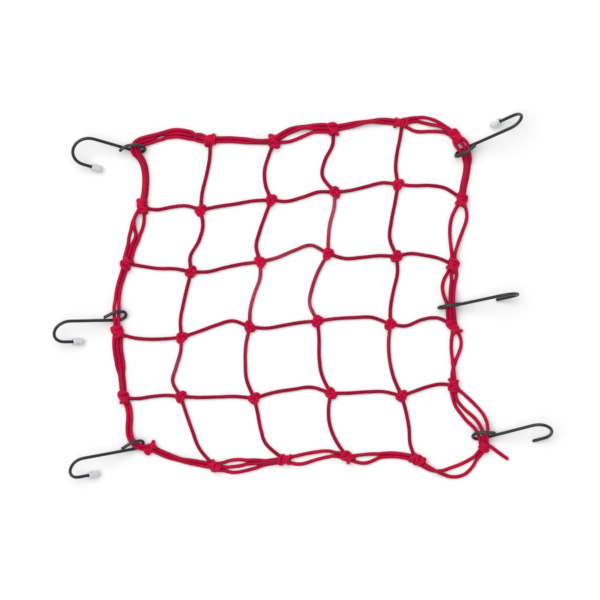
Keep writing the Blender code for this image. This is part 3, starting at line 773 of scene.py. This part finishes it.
inner_tubes, border_tubes = [], []
for number, (pair, lines) in enumerate(bundles.items()):
    # the painted sheen of this bundle, at five places along it
    painted_sheen = SHEEN_STRANDS.get(pair, (0, 0))
    tubes = inner_tubes if any(map(inside, pair)) else border_tubes
    for place, line in enumerate(lines):
        shift = BUNDLE_SHIFT * number + STRAND_SHIFT * place
        paleness = np.interp(np.linspace(0, 1, len(line)), np.linspace(0, 1, len(painted_sheen)), painted_sheen)
        tubes.append(Tube(line, swollen(line, shift), SIDES, shift, paleness))
tail_line = laid([PLACES[TAIL_KNOT], *TAIL_ROUTE])
border_tubes.append(Tube(tail_line, swollen(tail_line, TAIL_PHASE), SIDES, TAIL_SHIFT, 0))
mesh_strands = build("mesh_strands", inner_tubes)
border_strands = build("border_strands", border_tubes)

# %% [markdown]
# ## The knots
#
# Where two strands cross inside the net, one is tied round the other with an overhand knot.
# Pulled tight and laid flat, that knot shows three ears and three crossings: it is a trefoil.
# It could be traced from a photograph, but one formula gives all sixteen, each turned
# another way by a seeded draw.

# %% Form of the inner knots
KNOT_POINTS = 200
KNOT_OVERLAP = 1.02
KNOT_RISE = 0.58
EAR, EAR_RISE = 0.34, 1.1
# how far the wound cord stands out past the plain knot, across it and along it
INNER_GROWTH, INNER_STRETCH = 1.16, 1.16


def trefoil(knot, phase):
    """Overhand knot from above: radius R + r cos 3t at angle 2t, height sin 3t.

    R and r are shares of the room inside the knot's half width; the long side stretches it.
    It starts where it is lowest, which hides the seam.
    """
    t = np.pi / 2 + np.linspace(0, 2 * np.pi * KNOT_OVERLAP, KNOT_POINTS)
    room = knot.across * INNER_GROWTH - CORD_RADIUS
    radius = room * (1 - EAR) + room * EAR * np.cos(3 * t)
    stretch = knot.along / knot.across * INNER_STRETCH
    x = radius * np.cos(2 * t + phase) * stretch
    y = radius * np.sin(2 * t + phase)
    middle = knot.across * KNOT_RISE
    return np.stack([x, y, middle + (middle - CORD_RADIUS) * EAR_RISE * np.sin(3 * t)], axis=1)


print(f"an inner knot's radius runs from {1 - 2 * EAR:.2f} of its room to all of it")

# %% [markdown]
# Round the border the cord is tied over a bundle of strands. It shows wraps that slant both
# ways, over a few plain turns that fill the knot. Both forms are lines round the bundle:
# the wraps are a closed curve that runs to and fro as it turns, and the turns are a coil.

# %% Form of the border knots
RIM_GROWTH, RIM_STRETCH = 1.2, 1.04
RIM_MEAN, RIM_SWING = 0.94, 0.07
WRAP_LEAN = 0.22
# a turn's length in mm, its lean, how deep it lies and how fast its ends plunge
COIL_PITCH, COIL_LEAN, COIL_DEPTH, COIL_PLUNGE = 3.9, 0.28, 0.2, 9


def round_bundle(knot, along, radius, angle, lean):
    """A line round the bundle: along + lean * radius cos a, radius cos a, radius sin a."""
    x = along + lean * radius * np.cos(angle)
    z = knot.across * KNOT_RISE + radius * np.sin(angle)
    return np.stack([x, radius * np.cos(angle), z], axis=1)


def wrapping(knot, phase):
    """Wraps round the bundle: angle 3t about it while the place along it is cos 2t.

    The radius swells where one wrap crosses over another. It starts underneath, out of sight.
    """
    t = -(np.pi / 2 + phase) / 3 + np.linspace(0, 2 * np.pi * KNOT_OVERLAP, KNOT_POINTS)
    reach = knot.along * RIM_STRETCH - CORD_RADIUS
    radius = knot.across * RIM_GROWTH - CORD_RADIUS
    radius = radius * (RIM_MEAN + RIM_SWING * np.sin(4 * t + phase))
    return round_bundle(knot, reach * np.cos(2 * t), radius, 3 * t + phase, WRAP_LEAN)


def coil(knot, phase):
    """The turns under the wraps: a circle that moves evenly along the bundle as it turns.

    Near its two ends the radius falls to nothing as a sine, so that they end inside the knot.
    """
    reach = knot.along - CORD_RADIUS
    t = np.linspace(0, 1, KNOT_POINTS)
    angle = 4 * np.pi * reach / COIL_PITCH * t + phase
    buried = np.clip(np.minimum(t, 1 - t) * COIL_PLUNGE, 0, 1)
    radius = (knot.across - CORD_RADIUS - COIL_DEPTH) * np.sin(buried * np.pi / 2)
    return round_bundle(knot, reach * (2 * t - 1), radius, angle, COIL_LEAN)


print("the coil has a turn for each", COIL_PITCH, "mm of the bundle")

# %% [markdown]
# A knot's line is turned about the upright axis to lie along its bundle, and kept above the
# table. The strands simply run into it.

# %% Make the knots
KNOT_STEP = 1.0
KNOT_SHIFT = 23.0
KNOT_SEED = 7
rng = np.random.default_rng(KNOT_SEED)


def knot_line(knot, form, phase):
    """A form's line turned to the knot's place and kept above the table."""
    local = form(knot, phase)
    local[:, 2] = np.maximum(local[:, 2], CORD_Z)
    turn = math.radians(knot.turn_deg)
    matrix = np.eye(4)
    matrix[:2, :2] = (math.cos(turn), -math.sin(turn)), (math.sin(turn), math.cos(turn))
    matrix[:2, 3] = knot.x, knot.y
    return even_steps(moved(local, matrix), KNOT_STEP)


knot_tubes = []
for number, knot in enumerate(KNOTS):
    phase = rng.uniform(0, 2 * np.pi)
    forms = (trefoil,) if inside(knot.name) else (wrapping, coil)
    for line in [knot_line(knot, form, phase) for form in forms]:
        knot_tubes.append(Tube(line, swollen(line, number), SIDES, KNOT_SHIFT * number, 0))
print(f"{sum(run_of(tube.line) for tube in knot_tubes) * MM:.2f} m of cord in the knots")
cord_knots = build("cord_knots", knot_tubes)

# %% [markdown]
# ## The wires
#
# A wire is a tube along its centre line. Cutters leave an edge at each end, and the coating
# rounds that edge off, so the last rings are a little smaller.

# %% Make the hooks
WIRE_SIDES = 20
WIRE_SHIFT = 40.0
CUT_SHARE = 0.55


def wire_radii(line):
    """The full radius times the root of CUT_SHARE plus the run from the nearer end, up to 1."""
    steps = np.arange(len(line))
    from_end = np.minimum(steps, steps[::-1]) * WIRE_STEP
    return COATED_RADIUS * np.sqrt(np.clip(CUT_SHARE + from_end, 0, 1))


hook_pieces = {}
for number, (hook, line, matrix) in enumerate(zip(HOOKS, flat_wires, frames)):
    tube = Tube(line, wire_radii(line), WIRE_SIDES, WIRE_SHIFT * number, 0)
    hook_pieces[hook.name] = build("hook_wire_" + hook.name, [tube], matrix)

# %% [markdown]
# ## The caps
#
# A cap is a short soft tube with a domed end, moulded and pushed on. As on a lathe, a profile
# of radius and height is spun round the wire's axis. It runs from the middle of the dome down
# the outside, round the rim and up the bore. The cap's own Z axis points back along the
# shank, from its open rim to its closed end, so a matrix turns that axis to the hook's.

# %% Make the caps
CAP_SIDES = 40
CAP_PROFILE = np.array((
    (0.02, 13.0), (0.9, 12.95), (1.8, 12.75), (2.7, 12.3), (3.35, 11.6), (3.68, 10.7),
    (3.8, 9.6), (3.82, 7.5), (3.84, 5.0), (3.85, 2.6), (3.85, 1.2), (3.8, 0.5), (3.62, 0.12),
    (3.3, 0.0), (2.6, 0.02), (2.25, 0.15), (2.1, 0.5), (2.08, 3.0), (2.08, 5.4), (1.9, 5.75),
    (1.0, 5.8), (0.02, 5.8),
))
CAP_AXES = ((0, 0, -1), (0, 1, 0), (1, 0, 0))


def turned(name, profile, sides, matrix):
    """Spins a profile of (radius, height) round Z: (r cos a, r sin a, h) on a grid."""
    angle = 2 * np.pi * np.arange(sides) / sides
    radius, height = profile[:, :1], profile[:, 1:]
    grid = [radius * np.cos(angle), radius * np.sin(angle), height + 0 * angle]
    grid = np.stack(grid, axis=2).reshape(-1, 3)
    grid = np.vstack([grid, (0, 0, profile[0, 1]), (0, 0, profile[-1, 1])])
    quads, fans = tube_faces(len(profile), sides)
    places = (moved(grid, matrix) - MIDDLE) * MM
    mesh = bpy.data.meshes.new(name)
    mesh.from_pydata(places, [], [*quads[:, ::-1].tolist(), *fans[:, ::-1].tolist()])
    mesh.shade_smooth()
    mesh.update()
    print(f"{name}: {len(quads) * 2 + len(fans)} triangles")
    return linked(name, mesh)


cap_pieces = {}
for hook, matrix in zip(HOOKS, frames):
    if hook.capped:
        place = np.eye(4)
        place[:3, :3] = CAP_AXES
        place[:3, 3] = hook.length - hook.back + CAP_GRIP, hook.throat, 0
        name = "point_cap_" + hook.name
        cap_pieces[hook.name] = turned(name, CAP_PROFILE, CAP_SIDES, matrix @ place)

# %% [markdown]
# ## Shader maths as Python
#
# Blender's Math nodes are slow to place by hand. This small class wraps a socket, so that an
# expression such as 1 - mask adds the nodes itself.

# %% A socket with operators


class Socket:
    """One output socket; + - * on it, also after a number, add Math nodes to its tree."""

    def __init__(self, finish, socket):
        self.finish, self.socket = finish, socket

    def math(self, operation, *values):
        """A Math node on this socket and up to two more values."""
        inputs = dict(enumerate((self, *values)))
        return self.finish.node("ShaderNodeMath", dict(operation=operation), inputs)

    def __add__(self, other):
        return self.math("ADD", other)

    __radd__ = __add__

    def __sub__(self, other):
        return self.math("SUBTRACT", other)

    def __rsub__(self, other):
        return (self * -1) + other

    def __mul__(self, other):
        return self.math("MULTIPLY", other)

    __rmul__ = __mul__

    def fract(self):
        """What is left of the value above the whole number below it."""
        return self.math("FRACT")

    def sin(self):
        """The sine of the value, in radians."""
        return self.math("SINE")

    def step(self, low, high):
        """0 below low, 1 above high and smooth between."""
        settings = dict(interpolation_type="SMOOTHSTEP")
        inputs = {"Value": self, "From Min": low, "From Max": high}
        return self.finish.node("ShaderNodeMapRange", settings, inputs)


print("a socket knows", ", ".join(name for name in vars(Socket) if not name.startswith("_")))

# %% [markdown]
# A finish is a material with a Principled shader. Numbers that are the same all over are set
# on the shader itself. One method, node, makes any other node from its type, its settings
# and the values or links of its inputs.

# %% A finish


class Finish:
    """A material: its Principled shader, and one method that makes any other node."""

    def __init__(self, name, **constants):
        self.material = bpy.data.materials.new(name)
        self.material.use_nodes = True
        self.tree = self.material.node_tree
        self.shader = self.tree.nodes["Principled BSDF"]
        for socket, value in constants.items():
            self.shader.inputs[socket.replace("_", " ")].default_value = value
        print("finish", name)

    def node(self, kind, settings=None, inputs=None, out=0):
        """A new node, its settings first; gives back one of its outputs, by place or name."""
        node = self.tree.nodes.new(kind)
        for name, value in (settings or {}).items():
            setattr(node, name, value)
        for name, value in (inputs or {}).items():
            self.feed(node.inputs[name], value)
        return Socket(self, node.outputs[out])

    def feed(self, socket, value):
        """Links a Socket to this input, or sets its number or colour."""
        if isinstance(value, Socket):
            self.tree.links.new(value.socket, socket)
        else:
            socket.default_value = value

    def place(self):
        """The point on the piece, in the object's own coordinates, in metres."""
        return self.node("ShaderNodeTexCoord", out="Object")

    def noise(self, scale, detail):
        """Cloudy numbers between 0 and 1; one cloud is about 1 / scale metres wide."""
        inputs = {"Vector": self.place(), "Scale": scale, "Detail": detail}
        return self.node("ShaderNodeTexNoise", None, inputs)

    def mix(self, share, one, other):
        """Colour mix: one at share 0, other at share 1. The node's colour inputs are 6 and 7."""
        one, other = ((*c, 1) if isinstance(c, tuple) else c for c in (one, other))
        inputs = {0: share, 6: one, 7: other}
        return self.node("ShaderNodeMix", dict(data_type="RGBA"), inputs, out=2)

    def bump(self, height, distance, strength=1.0):
        """Tilts the shader's normal by the slope of a height, at most distance metres high."""
        inputs = {"Height": height, "Distance": distance, "Strength": strength}
        self.use("Normal", self.node("ShaderNodeBump", None, inputs))

    def use(self, name, value):
        """Feeds one input of the Principled shader."""
        self.feed(self.shader.inputs[name], value)


# %% [markdown]
# ## The cord's finish
#
# The cord's sheath is braided from fine yarns that run round it both ways and dive under each
# other. A picture could show that, but it would blur in a close view. Here two sets of
# slanting stripes on the UV map give the yarns, and the product of two sines says which set
# is on top. The hollow between yarns gets painted shade and is rougher. The dye varies a little
# from place to place. The border's bundles and the knots get a painted highlight that makes
# them paler, and a few stretches get a pale pink painted sheen.

# %% Cord
YARNS = 8
YARN_PITCH = 7.5
TOP_FADE = 0.35
DYE_SWING = 0.35
BRAID_RELIEF = 0.00022
CLOUD_SCALE, FUZZ_SCALE = 45.0, 1900.0
CRIMSON = (0.30, 0.0, 0.029)
# painted shade: the dark red for the hollows between yarns
CRIMSON_HOLLOW_SHADE = (0.20, 0.0, 0.016)
CRIMSON_PALE = (0.66, 0.003, 0.060)
# painted sheen: a pale pink highlight for stretches whose sheath shines
SHEEN_PINK = (0.50, 0.12, 0.16)


def ridge(share):
    """A round yarn across one stripe: 1 - (2 share - 1)^2, which is 1 in its middle."""
    from_middle = share * 2 - 1
    return 1 - from_middle * from_middle


def braided(name, highlight_lift):
    """Braid from u (turn) and v (mm): a yarn to each whole number of YARNS (u + v / pitch),
    and the other set with u - v / pitch.

    One set is on top where sin(u) * sin(v), both in yarns, is above 0. The lift paints it
    paler, as a painted highlight, and the hollows between yarns get painted shade.
    """
    finish = Finish(name, Specular_IOR_Level=0.13)
    uv = finish.node("ShaderNodeUVMap", dict(uv_map="braid"))
    u = finish.node("ShaderNodeSeparateXYZ", None, {0: uv}, out="X")
    v = finish.node("ShaderNodeSeparateXYZ", None, {0: uv}, out="Y")
    rising = ridge((u * YARNS + v * (YARNS / YARN_PITCH)).fract())
    falling = ridge((u * YARNS - v * (YARNS / YARN_PITCH)).fract())
    weave = (u * (2 * math.pi * YARNS)).sin() * (v * (2 * math.pi * YARNS / YARN_PITCH)).sin()
    on_top = weave.step(-TOP_FADE, TOP_FADE)
    height = rising * on_top + falling * (1 - on_top)
    cloud = finish.noise(CLOUD_SCALE, 3.0)
    fuzz = finish.noise(FUZZ_SCALE, 2.0)
    painted_sheen = finish.node("ShaderNodeAttribute", dict(attribute_name="mark"), out="Fac")
    # painted shade: darker in the hollows between yarns, full red on the ridges
    hollow_shaded = finish.mix(height.step(0.05, 0.75), CRIMSON_HOLLOW_SHADE, CRIMSON)
    # the cloud is the dye's own random tone; the lift adds a painted highlight
    pale = finish.mix(cloud.step(0.45, 0.75) * DYE_SWING + highlight_lift, hollow_shaded, CRIMSON_PALE)
    # painted sheen on the marked stretches, patchy with the cloud
    with_painted_sheen = finish.mix(painted_sheen * (0.6 + 0.4 * cloud), pale, SHEEN_PINK)
    finish.use("Base Color", with_painted_sheen)
    # yarns shine on their ridges, and the fuzz dulls them
    finish.use("Roughness", 0.60 - height * 0.16 + fuzz * 0.08)
    finish.bump(height * 0.8 + fuzz * 0.25, BRAID_RELIEF)
    return finish.material


# the border's bundles and the knots are paler copies: a painted highlight where the bunched cord faces
# up
sheath = braided("sheath_of_the_mesh", highlight_lift=0.0)
sheath_border_highlit = braided("sheath_of_the_border_painted_highlight", highlight_lift=0.36)
sheath_wound_highlit = braided("sheath_of_the_knots_painted_highlight", highlight_lift=0.6)

# %% [markdown]
# ## The wire's finish
#
# The wire has a smooth black coating, thick enough to round its surface off. It is a little
# uneven and has small grey scuffs, which sit where two noises of different size are both
# high. That gives a few sharp marks instead of an even haze.

# %% Wire
COATING = (0.020, 0.020, 0.022)
SCUFFED = (0.075, 0.075, 0.080)
GRAIN_SCALE, PATCH_SCALE = 900.0, 120.0
COATING_RELIEF = 0.00012


def coated(name):
    """Black coating: grey and rougher where patch and grain noise are both high."""
    finish = Finish(name, Specular_IOR_Level=0.55)
    grain = finish.noise(GRAIN_SCALE, 4.0)
    patch = finish.noise(PATCH_SCALE, 5.0)
    # the first range sets how much of the wire is scuffed, the second how broken the marks are
    scuff = patch.step(0.60, 0.72) * grain.step(0.45, 0.65)
    finish.use("Base Color", finish.mix(scuff, COATING, SCUFFED))
    finish.use("Roughness", 0.30 + patch * 0.16 + scuff * 0.2)
    finish.bump(grain * 0.5 + patch, COATING_RELIEF, 0.6)
    return finish.material


coating = coated("black_coating")

# %% [markdown]
# ## The caps' finish
#
# The caps are soft vinyl. Light goes in and comes out elsewhere, which makes them milky, and
# a little goes straight through. The white varies slightly, and handling has dulled it.

# %% Caps
MILK, MILK_PALE = (0.84, 0.84, 0.86), (0.93, 0.93, 0.94)
MILK_SCALE, HANDLED_SCALE = 160.0, 1400.0
MILK_RELIEF = 0.00015


def milky(name):
    """Translucent white: two near whites and a roughness that follow a soft noise."""
    finish = Finish(name, Subsurface_Weight=0.55, Subsurface_Scale=0.003,
                    Transmission_Weight=0.22, IOR=1.48, Specular_IOR_Level=0.5)
    cloud = finish.noise(MILK_SCALE, 3.0)
    fine = finish.noise(HANDLED_SCALE, 2.0)
    finish.use("Base Color", finish.mix(cloud.step(0.35, 0.7), MILK, MILK_PALE))
    finish.use("Roughness", 0.24 + cloud * 0.18 + fine * 0.06)
    finish.bump(cloud + fine * 0.3, MILK_RELIEF, 0.5)
    return finish.material


vinyl = milky("milky_vinyl")

# %% [markdown]
# ## Dressing the pieces
#
# Each piece gets its finish, and the solid it stands for is hidden.
# Everything rides on the one body, root, because nothing hard moves on its own in a net.

# %% Finishes on, solids off


def dress(thing, material, slot, *nodes):
    """Gives a piece its finish, rides it on the one body and hides the solids it stands for."""
    thing.data.materials.append(material)
    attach(thing, "root")
    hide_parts(*nodes)


dress(mesh_strands, sheath, "cord", "net")
dress(border_strands, sheath_border_highlit, "cord", "net")
dress(cord_knots, sheath_wound_highlit, "cord", "net")
for name, piece in hook_pieces.items():
    dress(piece, coating, "hook_wire", "hook_" + name)
for name, piece in cap_pieces.items():
    dress(piece, vinyl, "hook_cap", "cap_" + name)
print("dressed 3 pieces of cord,", len(hook_pieces), "wires and", len(cap_pieces), "caps")

# %% [markdown]
# ## Table and light
#
# The picture is on plain white and shows no shadow. A pale floor stands in for the table. A
# sun as wide as a window and a white sky leave only a faint, soft shadow on it.

# %% Stage
FLOOR_SIZE = 8
FLOOR_WHITE = (0.95, 0.95, 0.95, 1)
KEY_STRENGTH = 2.4
KEY_SPREAD_DEG = 65
KEY_TILT_DEG = (-12, -14, 0)
SKY = 0.36
bpy.ops.mesh.primitive_plane_add(size=FLOOR_SIZE)
floor = bpy.context.object
floor.name = "pale_floor"
ground = Finish("pale_floor", Roughness=0.9, Base_Color=FLOOR_WHITE)
floor.data.materials.append(ground.material)
key = bpy.data.lights.new("key", "SUN")
key.energy, key.angle = KEY_STRENGTH, math.radians(KEY_SPREAD_DEG)
linked("key", key).rotation_euler = [math.radians(angle) for angle in KEY_TILT_DEG]
studio = bpy.data.worlds.new("studio")
studio.use_nodes = True
sky = studio.node_tree.nodes["Background"]
sky.inputs["Color"].default_value = (1, 1, 1, 1)
sky.inputs["Strength"].default_value = SKY
bpy.context.scene.world = studio
bpy.context.scene.view_settings.view_transform = "Standard"
print("key light at", KEY_STRENGTH, "and sky at", SKY)

# %% [markdown]
# ## Camera
#
# The picture was taken from straight above. Raised bends of the hooks would lean outwards
# under a near camera, so a long lens looks down from far away. Its height follows from the
# width that the picture takes in: width times lens over sensor.

# %% Camera
PICTURE_WIDTH = 660.0
PICTURE_MIDDLE = np.array((-2.75, -4.4, 0.0))
LENS, SENSOR = 200.0, 36.0
CLIP_END = 50
camera_data = bpy.data.cameras.new("camera")
camera_data.lens, camera_data.sensor_width = LENS, SENSOR
camera_data.clip_end = CLIP_END
camera = linked("camera", camera_data)
aim = (PICTURE_MIDDLE - MIDDLE) * MM
camera.location = (aim[0], aim[1], PICTURE_WIDTH * MM * LENS / SENSOR)
bpy.context.scene.camera = camera
print("camera", round(camera.location.z, 2), "m above the floor")

# %% [markdown]
# ## End
